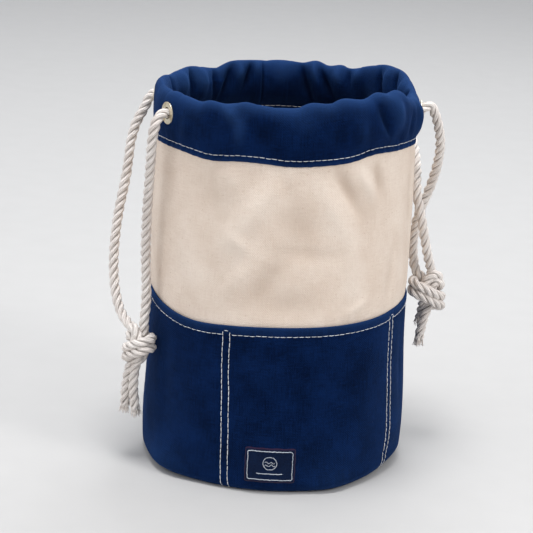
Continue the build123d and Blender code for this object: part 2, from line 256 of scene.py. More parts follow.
rim_height = around(RIM)
casing_hem = around(CASING_HEM)
pocket_edge = around(POCKET_EDGE)


def folded(angle, height, folds):
    """Sum of soft folds at points of the wall, in millimetres outwards."""
    total = np.zeros(np.broadcast(angle, height).shape)
    for middle, level, half_width, half_length, lean, depth in folds:
        across = wall_distance(angle, middle)
        up = height - level
        c, s = math.cos(math.radians(lean)), math.sin(math.radians(lean))
        side = across * c + up * s
        along = -across * s + up * c
        total = total + depth * np.exp(-(side / half_width) ** 2 - (along / half_length) ** 2)
    return total


def sag(angle, height):
    """The slow out-of-round of a soft bag, in millimetres outwards."""
    turn = np.radians(angle)
    rise = smoothstep(height, 0, 60)
    return rise * (0.45 * np.sin(2 * turn + 0.6 + height / 190)
                   + 0.35 * np.sin(3 * turn + 2.1 - height / 120)
                   + 0.22 * np.sin(7 * turn + height / 60))


def wall_shift(angle, height):
    """How far the natural canvas wall leaves its cylinder."""
    quiet = smoothstep(height, 122, 144) * (1 - smoothstep(height, 244, 254))
    return sag(angle, height) + quiet * folded(angle, height, BODY_FOLDS)


def pleats(angle, height):
    """Gathers of the casing's inner face: 0 in a crease, 1 on the crown of a pleat."""
    turn = np.radians(angle)
    drift = (0.9 * np.sin(2 * turn + 1.1) + 0.8 * np.sin(5 * turn + 0.4)
             + 0.5 * np.sin(9 * turn + 2.0) + (height - 285) * 0.028 * np.sin(4 * turn + 0.5))
    deep = 0.62 + 0.38 * np.sin(6 * turn + 2.2) * np.sin(11 * turn + 0.7)
    return deep * np.abs(np.sin(14 * turn + drift)) ** 0.75


def facing_shift(angle, height):
    """How far the casing's inner face stands in towards the middle of the bag."""
    front_half = smoothstep(np.cos(np.radians(angle)), 0.0, 0.3)
    listed = folded(angle, height, FACING_FOLDS)
    pleated = FRONT_PLEAT_DEPTH * front_half * (pleats(angle, height) - 0.4)
    return FACING_DEPTH * listed * (1 - front_half) + pleated


def divider_offset(angle):
    """Distance round the wall to the nearest pocket seam."""
    gaps = [np.abs(wall_distance(angle, seam)) for seam in DIVIDER_ANGLES]
    return np.min(gaps, axis=0)


def pocket_shift(angle, height):
    """How far the pocket band leaves its cylinder: open mouths, seams pulled in, folds."""
    seam = divider_offset(angle)
    open_mouth = smoothstep(seam, 3, 34) * smoothstep(height, 60, 132)
    groove = np.exp(-((seam - TWIN_STITCH / 2) / 0.8) ** 2)
    pull = np.exp(-(seam / 7.0) ** 2)
    edge = smoothstep(height, 2, 24)
    pucker = np.sin(height * 2 * math.pi / 9 + 0.6 * np.sin(height / 13)) * pull
    shift = sag(angle, height) + 0.35 * open_mouth - 0.3 * groove - 0.35 * pull * edge
    low = smoothstep(height, -12, 10)
    return shift + 0.12 * pucker * edge + low * folded(angle, height, POCKET_FOLDS)


def pocket_profile(run):
    """Radius and height of the pocket band's outside, by distance up from the base's edge."""
    flat = BAG_RADIUS - CORNER_RADIUS - BASE_RADIUS
    arc = CORNER_RADIUS * math.pi / 2
    bend = np.clip((run - flat) / CORNER_RADIUS, 0, math.pi / 2)
    radius = BASE_RADIUS + np.clip(run, 0, flat) + CORNER_RADIUS * np.sin(bend)
    height = CORNER_RADIUS * (1 - np.cos(bend)) + np.clip(run - flat - arc, 0, None)
    return radius, height


def run_at(height):
    """Distance up the pocket band at a height above the soft corner."""
    return (BAG_RADIUS - CORNER_RADIUS - BASE_RADIUS + CORNER_RADIUS * math.pi / 2
            + height - CORNER_RADIUS)


def base_lift(angle):
    """How far the bottom edge is rolled up off the floor, on the bag's right."""
    middle, spread, height = BOTTOM_ROLL
    return height * np.exp(-(wrapped(angle - middle) / spread) ** 2)


def pocket_surface(angle, run, out=0.0):
    """Points on the pocket band's outside, or off it by a distance."""
    radius, height = pocket_profile(np.asarray(run, float))
    shift = pocket_shift(angle, height)
    lean = np.clip((radius - BASE_RADIUS) / (BAG_RADIUS - BASE_RADIUS), 0, 1)
    slope = np.arcsin(np.clip((radius - BAG_RADIUS + CORNER_RADIUS) / CORNER_RADIUS, 0, 1))
    height = height + base_lift(angle) * lean ** 2 * (1 - smoothstep(height, 2, 34))
    radius = radius + shift * lean + out * np.sin(slope)
    return polar(radius, angle, height - out * np.cos(slope))


def lining_shift(angle, height):
    """How far the wall's inner face leaves its cylinder; low down it follows the pocket."""
    under = 1 - smoothstep(height, 70, 110)
    return wall_shift(angle, height) * (1 - under) + pocket_shift(angle, height) * under


# ---- meshes
def add_object(name, points, faces, material, uv=None):
    """Mesh object from points in millimetres; uv is one pair per point."""
    mesh = bpy.data.meshes.new(name)
    points = np.asarray(points, float).reshape(-1, 3)
    mesh.from_pydata((points * MM).tolist(), [], [[int(i) for i in face] for face in faces])
    mesh.shade_smooth()
    if uv is not None:
        corner = np.empty(len(mesh.loops), np.int32)
        mesh.loops.foreach_get("vertex_index", corner)
        layer = mesh.uv_layers.new(name="cloth")
        layer.data.foreach_set("uv", np.asarray(uv, float)[corner].ravel())
    mesh.materials.append(material)
    obj = bpy.data.objects.new(name, mesh)
    SCENE.collection.objects.link(obj)
    return obj


def bag_piece(obj, node):
    """Piece that stays on the bag's body, in place of a CAD node."""
    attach(obj, "bag")
    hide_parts(node)


def grid_faces(rows, columns, closed_columns=False):
    """Quads of a grid whose points are stored row by row."""
    r = np.arange(rows - 1) * columns
    c = np.arange(columns if closed_columns else columns - 1)
    r, c = np.meshgrid(r, c, indexing="ij")
    r2, c2 = r + columns, (c + 1) % columns
    return np.stack([r + c, r + c2, r2 + c2, r2 + c], -1).reshape(-1, 4)


def grid_uv(columns, rows):
    """UV pairs of a grid's points, by the places of its columns and rows."""
    u, v = np.meshgrid(columns, rows)
    return np.stack([u.ravel(), v.ravel()], -1)


def point_attribute(obj, name, values):
    layer = obj.data.attributes.new(name, "FLOAT", "POINT")
    layer.data.foreach_set("value", np.asarray(values, float).ravel())


def sweep_tubes(centres, tangents, normals, radii, sides):
    """Points and faces of many short tubes: centres are (tube, station, xyz)."""
    count, stations, _ = centres.shape
    across = np.cross(tangents, normals)
    turn = np.arange(sides) * 2 * math.pi / sides
    ring = (normals[:, :, None] * np.cos(turn)[:, None]
            + across[:, :, None] * np.sin(turn)[:, None])
    points = centres[:, :, None] + ring * radii[:, :, None, None]
    one = grid_faces(stations, sides, closed_columns=True)
    per_tube = stations * sides
    faces = (one[None] + np.arange(count)[:, None, None] * per_tube).reshape(-1, 4).tolist()
    for tube in range(count):
        first = tube * per_tube
        faces.append(list(range(first, first + sides))[::-1])
        faces.append(list(range(first + per_tube - sides, first + per_tube)))
    return points.reshape(-1, 3), faces


def unit(vectors):
    return vectors / np.maximum(np.linalg.norm(vectors, axis=-1, keepdims=True), 1e-9)


def arc_length(line):
    return np.concatenate([[0], np.cumsum(np.linalg.norm(np.diff(line, axis=0), axis=1))])


def resampled(line, at, values):
    """Values given at the points of a line, read at other distances along it."""
    return np.stack([np.interp(at, arc_length(line), column) for column in values.T], -1)


def stitch_row(line, normals, seed, pitch=4.5, length=4.05, thread=0.21):
    """Separate stitches along a line on the cloth, each dipping in at both its ends."""
    rng = np.random.default_rng(seed)
    total = arc_length(line)[-1]
    count = max(1, int(round(total / pitch)))
    step = total / count
    middles = (np.arange(count) + 0.5) * step + rng.normal(0, 0.12, count)
    stations = np.array([-0.5, -0.42, -0.25, 0, 0.25, 0.42, 0.5])
    lift = np.array([-0.42, 0.02, 0.26, 0.3, 0.26, 0.02, -0.42])
    thick = np.array([0.7, 0.9, 1.0, 1.0, 1.0, 0.9, 0.7])
    at = np.clip(middles[:, None] + stations * length * (step / pitch), 0, total)
    centres = resampled(line, at.ravel(), line).reshape(*at.shape, 3)
    outwards = unit(resampled(line, at.ravel(), normals)).reshape(*at.shape, 3)
    tangents = unit(np.gradient(centres, axis=1))
    sideways = np.cross(tangents, outwards)
    slant = rng.normal(0, 0.1, (count, 1, 1)) + rng.normal(0, 0.05, (count, len(stations), 1))
    centres = centres + outwards * lift[None, :, None] + sideways * slant
    tangents = unit(np.gradient(centres, axis=1))
    normals_here = unit(outwards - tangents * (outwards * tangents).sum(-1, keepdims=True))
    radii = thread * thick[None] * rng.normal(1, 0.05, (count, 1))
    return sweep_tubes(centres, tangents, normals_here, radii, 7)


def joined(parts):
    """Several (points, faces) as one."""
    points, faces, start = [], [], 0
    for some_points, some_faces in parts:
        points.append(some_points)
        faces += [[corner + start for corner in face] for face in some_faces]
        start += len(some_points)
    return np.concatenate(points), faces


def thread_piece(name, node, rows, material):
    obj = add_object(name, *joined(rows), material)
    obj.data.validate()
    bag_piece(obj, node)


# ---- materials
COTTON_ROUGHNESS = 0.9


def material_tree(name):
    """New material, its node tree and its shader."""
    material = bpy.data.materials.new(name)
    material.use_nodes = True
    tree = material.node_tree
    return material, tree, tree.nodes["Principled BSDF"]


def set_socket(tree, socket, value):
    """A socket's constant, or its link where the value is another socket."""
    if isinstance(value, bpy.types.NodeSocket):
        tree.links.new(value, socket)
    else:
        socket.default_value = value


def add_node(tree, kind, settings=None, **inputs):
    """Node with its settings and its inputs, which _ and a number or a name stand for."""
    node = tree.nodes.new(kind)
    for key, value in (settings or {}).items():
        setattr(node, key, value)
    for key, value in inputs.items():
        socket = node.inputs[int(key[1:])] if key[0] == "_" else node.inputs[key]
        set_socket(tree, socket, value)
    return node


def math_node(tree, operation, first, second=0.0, third=0.0, clamp=False):
    node = add_node(tree, "ShaderNodeMath", {"operation": operation, "use_clamp": clamp},
                    _0=first, _1=second, _2=third)
    return node.outputs[0]


def added(tree, total, *terms):
    """A total with terms added to it, each a (value, weight)."""
    for value, weight in terms:
        total = math_node(tree, "MULTIPLY_ADD", value, weight, total)
    return total


def noise_node(tree, vector, scale, detail=2.0, roughness=0.5):
    node = add_node(tree, "ShaderNodeTexNoise", None, Vector=vector, Scale=scale, Detail=detail,
                    Roughness=roughness)
    return node.outputs["Fac"]


def scaled_vector(tree, vector, scale):
    return add_node(tree, "ShaderNodeMapping", None, Vector=vector, Scale=scale).outputs[0]


def ramp(tree, value, low, high):
    """Value brought from low..high to 0..1."""
    node = add_node(tree, "ShaderNodeMapRange", {"interpolation_type": "SMOOTHSTEP"},
                    Value=value, _1=low, _2=high)
    return node.outputs[0]


def mix_colours(tree, factor, first, second):
    node = add_node(tree, "ShaderNodeMix", {"data_type": "RGBA"})
    for socket, value in zip((node.inputs[0], *node.inputs[6:8]), (factor, first, second)):
        set_socket(tree, socket, value)
    return node.outputs[2]


def rgb(red, green, blue):
    return (red, green, blue, 1.0)


def finish_shader(tree, shader, colour, height, bump, distance, sockets):
    """Colour, bump and the constant sockets of a shader."""
    tree.links.new(colour, shader.inputs["Base Color"])
    bumped = add_node(tree, "ShaderNodeBump", None, Strength=bump, Distance=distance,
                      Height=height)
    tree.links.new(bumped.outputs[0], shader.inputs["Normal"])
    for socket, value in sockets.items():
        shader.inputs[socket].default_value = value


def weave_material(name, dark, light, fleck, fleck_limits, worn, hollow, specular, pitch=0.86,
                   sheen=0.1, bump=0.55, sheen_tint=rgb(1, 1, 1)):
    """Plain-woven cotton: threads over and under, slubs, flecks, slow stains, wear, and painted
    light and shade.

    The point attribute is above 0 on rubbed edges, where it is real wear, and on the crowns of
    folds and the rim, where it is a painted highlight; below 0 it is painted shade in the hollows.
    """
    material, tree, shader = material_tree(name)
    uv = add_node(tree, "ShaderNodeTexCoord").outputs["UV"]
    drift = add_node(tree, "ShaderNodeTexNoise", None, Vector=uv, Scale=0.22, Detail=2.0)
    shaken = add_node(tree, "ShaderNodeVectorMath", {"operation": "MULTIPLY_ADD"},
                      _0=drift.outputs["Color"], _1=(0.9, 0.9, 0.0), _2=uv).outputs[0]
    axes = add_node(tree, "ShaderNodeSeparateXYZ", None, Vector=shaken)
    wave = []
    for axis in ("X", "Y"):
        phase = math_node(tree, "MULTIPLY", axes.outputs[axis], math.pi / pitch)
        wave.append(math_node(tree, "SINE", phase))
    crossing = math_node(tree, "MULTIPLY", wave[0], wave[1])
    weft_slub = noise_node(tree, scaled_vector(tree, uv, (0.10, 1.35, 1)), 1.0, 3.0)
    warp_slub = noise_node(tree, scaled_vector(tree, uv, (1.35, 0.07, 1)), 1.0, 3.0)
    fibre = noise_node(tree, uv, 3.2, 3.0, 0.7)
    grain = noise_node(tree, uv, 0.75, 3.0, 0.75)
    stain = noise_node(tree, uv, 0.035, 3.0, 0.55)
    slubs = math_node(tree, "ADD", weft_slub, warp_slub)
    height = added(tree, slubs, (crossing, 0.36), (fibre, 0.5))
    tone = math_node(tree, "MULTIPLY", stain, 0.65)
    tone = added(tree, tone, (crossing, 0.06), (slubs, 0.4), (grain, 0.45))
    colour = mix_colours(tree, ramp(tree, tone, 0.70, 1.20), dark, light)
    specks = noise_node(tree, scaled_vector(tree, uv, (0.55, 0.8, 1)), 1.0, 4.0, 0.75)
    colour = mix_colours(tree, ramp(tree, specks, *fleck_limits), colour, fleck)
    # The point attribute: above 0 it mixes towards the worn colour, real wear on edges and a
    # painted highlight on crowns; below 0 towards the hollow colour, painted shade.
    painted_shading_and_wear = add_node(tree, "ShaderNodeAttribute", {"attribute_name": "painted_shading_and_wear"}).outputs["Fac"]
    patchy = math_node(tree, "MULTIPLY", painted_shading_and_wear, ramp(tree, fibre, 0.2, 0.75))
    colour = mix_colours(tree, patchy, colour, worn)
    # Painted shade: the hollow colour darkens creases and the deep inside of the bag.
    depth = math_node(tree, "MULTIPLY", painted_shading_and_wear, -1.0, clamp=True)
    colour = mix_colours(tree, depth, colour, hollow)
    finish_shader(tree, shader, colour, height, bump, 0.0004, {
        "Roughness": COTTON_ROUGHNESS, "Specular IOR Level": specular, "Sheen Weight": sheen,
        "Sheen Roughness": 0.5, "Sheen Tint": sheen_tint})
    return material


def fibre_material(name, dark, light, lines, slant, bump, sheen=0.15):
    """Twisted cotton. UV runs 0..1 round a strand and in millimetres along it.

    The attribute groove is 1 where a strand faces the others of its rope; there the colour is
    painted darker as shade between the strands.
    """
    material, tree, shader = material_tree(name)
    uv = add_node(tree, "ShaderNodeTexCoord").outputs["UV"]
    axes = add_node(tree, "ShaderNodeSeparateXYZ", None, Vector=uv)
    round_it = math_node(tree, "MULTIPLY", axes.outputs["X"], 2 * math.pi * lines)
    yarn = math_node(tree, "SINE", added(tree, round_it, (axes.outputs["Y"], slant)))
    place = add_node(tree, "ShaderNodeTexCoord").outputs["Object"]
    fuzz = noise_node(tree, place, 1400, 3.0, 0.7)
    soil = noise_node(tree, place, 45, 3.0, 0.6)
    height = added(tree, yarn, (fuzz, 1.4))
    tone = added(tree, soil, (yarn, 0.12), (fuzz, 0.35))
    colour = mix_colours(tree, ramp(tree, tone, 0.35, 0.95), dark, light)
    groove = add_node(tree, "ShaderNodeAttribute", {"attribute_name": "groove"}).outputs["Fac"]
    # Painted shade between the strands, where they face each other.
    groove_shade = tuple(0.6 * channel for channel in dark[:3]) + (1.0,)
    colour = mix_colours(tree, ramp(tree, groove, 0.15, 0.85), colour, groove_shade)
    finish_shader(tree, shader, colour, height, bump, 0.0003, {
        "Roughness": COTTON_ROUGHNESS, "Specular IOR Level": 0.2, "Sheen Weight": sheen})
    return material


def metal_material():
    """Tarnished brass-coloured metal."""
    material, tree, shader = material_tree("grommet_metal")
    place = add_node(tree, "ShaderNodeTexCoord").outputs["Object"]
    tarnish = noise_node(tree, place, 220, 4.0, 0.6)
    scratch = noise_node(tree, scaled_vector(tree, place, (1, 1, 9)), 900, 2.0)
    colour = mix_colours(tree, ramp(tree, tarnish, 0.35, 0.7), rgb(0.78, 0.72, 0.58),
                         rgb(0.56, 0.47, 0.31))
    tree.links.new(ramp(tree, tarnish, -0.3, 1.6), shader.inputs["Roughness"])
    finish_shader(tree, shader, colour, scratch, 0.15, 0.0001, {"Metallic": 1.0})
    return material


def floor_material():
    """Pale, slightly mottled board."""
    material, tree, shader = material_tree("floor_pale")
    place = add_node(tree, "ShaderNodeTexCoord").outputs["Object"]
    grain = noise_node(tree, place, 30, 4.0)
    colour = mix_colours(tree, grain, rgb(0.49, 0.485, 0.475), rgb(0.52, 0.515, 0.505))
    tree.links.new(colour, shader.inputs["Base Color"])
    shader.inputs["Roughness"].default_value = 0.85
    return material


# Navy: the worn colour is real wear on edges and a painted highlight on the crowns of folds and
# the rim; the hollow colour is painted shade in creases and deep inside.
NAVY = weave_material(
    "navy_canvas", rgb(0.0003, 0.0030, 0.0165), rgb(0.0024, 0.0138, 0.064), rgb(0.03, 0.06, 0.15),
    (0.68, 0.84), rgb(0.018, 0.052, 0.155), rgb(0.0002, 0.0016, 0.008), 0.03, sheen=0.16,
    sheen_tint=rgb(0.10, 0.28, 0.80))
# Natural: the worn colour is painted light on the ridges of folds; the hollow colour is painted
# shade in their valleys.
NATURAL = weave_material(
    "natural_canvas", rgb(0.68, 0.555, 0.455), rgb(0.80, 0.69, 0.59), rgb(0.42, 0.27, 0.17),
    (0.62, 0.68), rgb(0.86, 0.765, 0.67), rgb(0.50, 0.385, 0.30), 0.15, sheen=0.05)
LABEL = weave_material(
    "label_cloth", rgb(0.0020, 0.0068, 0.025), rgb(0.0042, 0.0135, 0.047), rgb(0.03, 0.05, 0.10),
    (0.72, 0.82), rgb(0.050, 0.016, 0.030), rgb(0.001, 0.004, 0.014), 0.03, pitch=0.34, bump=0.4)
COTTON = fibre_material(
    "cotton_rope", rgb(0.69, 0.62, 0.57), rgb(0.92, 0.87, 0.82), 8, 1.5, 0.6, sheen=0.05)
THREAD = fibre_material(
    "sewing_thread", rgb(0.54, 0.55, 0.56), rgb(0.78, 0.79, 0.80), 3, 4.0, 0.4)
LABEL_THREAD = fibre_material(
    "label_thread", rgb(0.30, 0.35, 0.42), rgb(0.56, 0.60, 0.66), 3, 4.0, 0.4)
METAL = metal_material()


# ---- camera
def add_camera():
    """Camera a little above the rim's height, level left to right but for a slight roll."""
    elevation, roll = math.radians(15.7), math.radians(2.7)
    aim, distance = Vector((0, 0, 0.150)), 1.479
    back = Vector((0, -math.cos(elevation), math.sin(elevation)))
    right = Vector((1, 0, 0))
    up = back.cross(right)
    x_axis = right * math.cos(roll) + up * math.sin(roll)
    y_axis = up * math.cos(roll) - right * math.sin(roll)
    data = bpy.data.cameras.new("camera")
    data.sensor_width = 36.0
    data.lens = 129.1
    data.shift_x, data.shift_y = -0.0231, -0.0057
    camera = bpy.data.objects.new("camera", data)
    camera.matrix_world = Matrix.Translation(aim + back * distance) @ Matrix(
        (x_axis, y_axis, back)).transposed().to_4x4()
    SCENE.collection.objects.link(camera)
    SCENE.camera = camera


add_camera()


# ---- ropes
def knot_run(side, cord):
    """Control points of one cord of a knot."""
    middle, turn, hand, depth = KNOTS[side]
    c, s = math.cos(math.radians(turn)), math.sin(math.radians(turn))
    points = []
    for place, apart in KNOT_RUN:
        x, y, z = Vector(place) + Vector(apart).normalized() * cord * KNOT_HALF_GAP
        x, y = x * hand, y * depth
        points.append((middle[0] + c * x + s * y, middle[1] + s * x - c * y, middle[2] + z))
    return points


def spline_line(points):
    """Points along the NURBS line with these control points."""
    curve = bpy.data.curves.new("route", "CURVE")
    curve.dimensions = "3D"
    spline = curve.splines.new("NURBS")
    spline.points.add(len(points) - 1)
    for knot, point in zip(spline.points, points):
        knot.co = (*point, 1)
    spline.order_u = 3
    spline.use_endpoint_u = True
    spline.resolution_u = 16
    holder = bpy.data.objects.new("route", curve)
    mesh = bpy.data.meshes.new_from_object(holder)
    line = np.array([vertex.co for vertex in mesh.vertices], float)
    bpy.data.objects.remove(holder)
    bpy.data.curves.remove(curve)
    bpy.data.meshes.remove(mesh)
    return line


def carried_frames(line):
    """Tangents and normals of a line, the normals carried along without twist."""
    tangents = unit(np.gradient(line, axis=0))
    normals = np.zeros_like(line)
    seed = np.array([0.3, 0.1, 1.0]) if abs(tangents[0][2]) < 0.9 else np.array([1.0, 0.2, 0.0])
    normals[0] = unit(np.cross(tangents[0], seed))
    for i in range(1, len(line)):
        carried = normals[i - 1] - tangents[i] * np.dot(normals[i - 1], tangents[i])
        normals[i] = unit(carried)
    return tangents, normals


def laid_rope(line, seed, frayed, thickness):
    """Three twisted strands round a line; the end can open into a brush of yarns."""
    rng = np.random.default_rng(seed)
    total = arc_length(line)[-1]
    at = np.linspace(0, total, int(total / RING_STEP) + 1)
    centre = resampled(line, at, line)
    tangents, normals = carried_frames(centre)
    across = np.cross(tangents, normals)
    opening = smoothstep(at, total - 14, total - FRAY) if frayed else np.zeros_like(at)
    laid = len(at) - (int(FRAY / RING_STEP) if frayed else 0)
    uneven = np.arange(0, total + 7, 7)
    ring = np.arange(STRAND_SIDES) * 2 * math.pi / STRAND_SIDES
    parts, uvs, fringe = [], [], []
    for strand in range(3):
        wobble = 1 + 0.035 * np.interp(at, uneven, rng.normal(0, 1, len(uneven)))
        turn = at * 2 * math.pi / LAY_LENGTH + strand * 2 * math.pi / 3
        spoke = normals * np.cos(turn)[:, None] + across * np.sin(turn)[:, None]
        away = thickness * STRAND_OFFSET * (1 + 0.2 * opening)
        core = (centre + spoke * away[:, None])[:laid]
        spoke = spoke[:laid]
        along = unit(np.gradient(core, axis=0))
        side = np.cross(along, spoke)
        ridge = 1 + 0.06 * np.cos(YARNS * ring + at[:laid, None] * 1.5)
        radius = thickness * STRAND_RADIUS * wobble * (1 - 0.25 * opening)
        radius = radius[:laid, None] * ridge
        points = (core[:, None] + radius[..., None] * (spoke[:, None] * np.cos(ring)[:, None]
                                                       + side[:, None] * np.sin(ring)[:, None]))
        faces = grid_faces(laid, STRAND_SIDES, closed_columns=True).tolist()
        faces.append(list(range(STRAND_SIDES))[::-1])
        faces.append(list(range((laid - 1) * STRAND_SIDES, laid * STRAND_SIDES)))
        parts.append((points.reshape(-1, 3), faces))
        uvs.append(grid_uv(np.arange(STRAND_SIDES) / STRAND_SIDES, at[:laid]))
        if frayed:
            fringe.append(yarn_brush(core[-6], tangents[laid - 6], spoke[-6], rng))
    parts += fringe
    uvs += [np.stack([np.zeros(len(points)), points[:, 2]], -1) for points, _ in fringe]
    points, faces = joined(parts)
    return points, faces, np.concatenate(uvs), centre


def yarn_brush(root, direction, spoke, rng):
    """Loose yarns at the end of one strand, spreading as they leave it."""
    count, stations = 24, 8
    side = np.cross(direction, spoke)
    spread = np.clip(rng.normal(0, 0.15, (count, 2)), -0.22, 0.22)
    length = rng.uniform(7.0, 10.0, count)
    t = np.linspace(0, 1, stations)
    place = [rng.uniform(-0.8, 0.8, (count, 1)) for _ in range(2)]
    bow = np.clip(rng.normal(0, 0.7, (count, 2)), -1, 1)
    along = length[:, None] * t
    centres = (root + spoke * place[0] + side * place[1])[:, None] + direction * along[..., None]
    for axis, way in enumerate((spoke, side)):
        aside = spread[:, axis, None] * along + bow[:, axis, None] * t ** 2 * 0.7
        centres = centres + way * aside[..., None]
    tangents = unit(np.gradient(centres, axis=1))
    normals = unit(spoke - tangents * (tangents * spoke).sum(-1, keepdims=True))
    radii = np.broadcast_to(0.30 - 0.10 * t, (count, stations))
    return sweep_tubes(centres, tangents, normals, radii, 5)


def rope_object(name, line, seed, frayed, thickness=1.0):
    """Rope along a line, and the middle line that its strands were laid round."""
    points, faces, uv, centre = laid_rope(line, seed, frayed, thickness)
    rope = add_object(name, points, faces, COTTON, uv)
    point_attribute(rope, "groove", np.sin(math.pi * uv[:, 0]) ** 2)
    return rope, centre


def hanging_rope(place, seed):
    """One cord end from inside its grommet, down its strand, through the knot, to its tail."""
    cord, tail = ROPES[place]
    side = place.split("_")[0]
    angle = GROMMETS[place]
    inside = [tuple(polar(radius, angle, GROMMET_HEIGHT)) for radius in (ROPE_STARTS, CLOTH_FACE)]
    line = spline_line(inside + STRANDS[place] + knot_run(side, cord) + TAILS[tail])
    rope, centre = rope_object(f"rope_{place}", line, seed, True)
    mouth = polar(GROMMET_MOUTH, angle, GROMMET_HEIGHT) * MM
    start = polar(CLOTH_FACE, angle, GROMMET_HEIGHT) * MM
    end = polar(CLOTH_FACE + BLEND_REACH, angle, GROMMET_HEIGHT - BLEND_REACH) * MM
    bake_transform(rope)
    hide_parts(f"strand_{place}", f"tail_{tail}", f"knot_{side}")


for index, place in enumerate(ROPES):
    hanging_rope(place, 40 + index)


def casing_rope(side, seed):
    """The cord inside the casing, all the way round between its side's grommets."""
    first, last, height = DRAWCORDS[side]
    start = GROMMETS[first] + 4
    stop = GROMMETS[first] - 4 + (GROMMETS[last] - GROMMETS[first]) % 360
    angle = np.linspace(start, stop, 240)
    ends = smoothstep(np.minimum(angle - start, stop - angle), 0, 16)
    level = GROMMET_HEIGHT + (height - GROMMET_HEIGHT) * ends
    with_outer, with_inner = DRAWCORD_FOLLOWS
    pushed = with_outer * folded(angle, level, CASING_FOLDS)
    pushed = pushed - with_inner * facing_shift(angle, level)
    line = polar(DRAWCORD_RADIUS + pushed, angle, level)
    rope, _ = rope_object(f"casing_rope_{side}", line, seed, False, DRAWCORD_THICKNESS)
    bag_piece(rope, f"drawcord_{side}")


for index, side in enumerate(DRAWCORDS):
    casing_rope(side, 50 + index)


# ---- cloth
def round_the_bag(count):
    """Angles of the columns of a cloth that goes round the bag."""
    return np.arange(count) * 360.0 / count - 180.0


def smooth_rows(keys, steps):
    """Catmull-Rom rows through key rows of a section: (key, angle, 2) in and out."""
    padded = np.concatenate([2 * keys[:1] - keys[1:2], keys, 2 * keys[-1:] - keys[-2:-1]])
    rows = []
    for i in range(1, len(padded) - 2):
        a, b, c, d = padded[i - 1:i + 3]
        for t in np.arange(steps) / steps:
            rows.append(0.5 * (2 * b + (c - a) * t + (2 * a - 5 * b + 4 * c - d) * t ** 2
                               + (3 * b - a - 3 * c + d) * t ** 3))
    rows.append(keys[-1])
    return np.stack(rows)


def near_grommet(angle, height):
    """1 away from the grommets, 0 where cloth lies flat under a flange."""
    calm = 1.0
    for middle in GROMMETS.values():
        away = np.hypot(wall_distance(angle, middle), height - GROMMET_HEIGHT)
        calm = calm * smoothstep(away, *GROMMET_FLAT)
    return calm


def closed_ring_cloth(name, node, points, angle, length, material, painted_shading_and_wear, keep=None):
    """Cloth whose rows, (row, angle, xyz), run round the bag, with the faces to keep."""
    faces = grid_faces(len(points), len(angle), closed_columns=True)
    if keep is not None:
        faces = faces[keep(points.reshape(-1, 3)[faces].mean(1))]
    uv = grid_uv(np.radians(angle) * BAG_RADIUS, length)
    cloth = add_object(name, points, faces, material, uv)
    point_attribute(cloth, "painted_shading_and_wear", painted_shading_and_wear)
    bag_piece(cloth, node)


# Keys of the casing's section, counted from its hem outside; 13 is the rim. The positions in
# build_casing count in them too.
CASING_STITCH_KEY = 5
FACING_STITCH_KEY = 21
ROW_STEPS = 3


def casing_section(angle):
    """Key points of the casing's section as (key, angle, radius or height)."""
    hem = casing_hem(angle)
    rim = rim_height(angle)
    keys = [
        (98.6, hem + 0.9), (98.7, hem + 0.2), (99.2, hem), (99.75, hem + 0.45),
        (99.85, hem + 2.5), (99.45, hem + CASING_STITCH_RISE), (99.95, hem + 6.3),
        (100.8, hem + 9.6), (101.5, hem + 14), (101.8, (hem + rim) / 2 + 2),
        (101.2, rim - 8.5), (99.7, rim - 3.8), (97.6, rim - 1.2), (95.2, rim),
        (92.9, rim - 1.0), (91.0, rim - 3.8), (89.4, rim - 9), (88.4, 276),
        (89.0, 267), (92.0, 260.5), (95.4, hem + 6.2),
        (96.2, hem + CASING_STITCH_RISE), (95.85, hem + 2.4), (96.1, hem + 0.4),
        (96.9, hem + 0.2)]
    return np.stack([np.stack(np.broadcast_arrays(r, z, rim)[:2], -1) for r, z in keys])


def clear_of_grommets(places):
    """Whether places on the casing are outside the holes for its grommets."""
    clear = np.ones(len(places), bool)
    for middle in GROMMETS.values():
        away = places - polar(CASING_BULGE, middle, GROMMET_HEIGHT)
        outwards = polar(1.0, middle, 0.0)
        along = away @ outwards
        aside = np.linalg.norm(away - along[:, None] * outwards, axis=1)
        clear &= ~((aside < GROMMET_CUT) & (along > -5))
    return clear


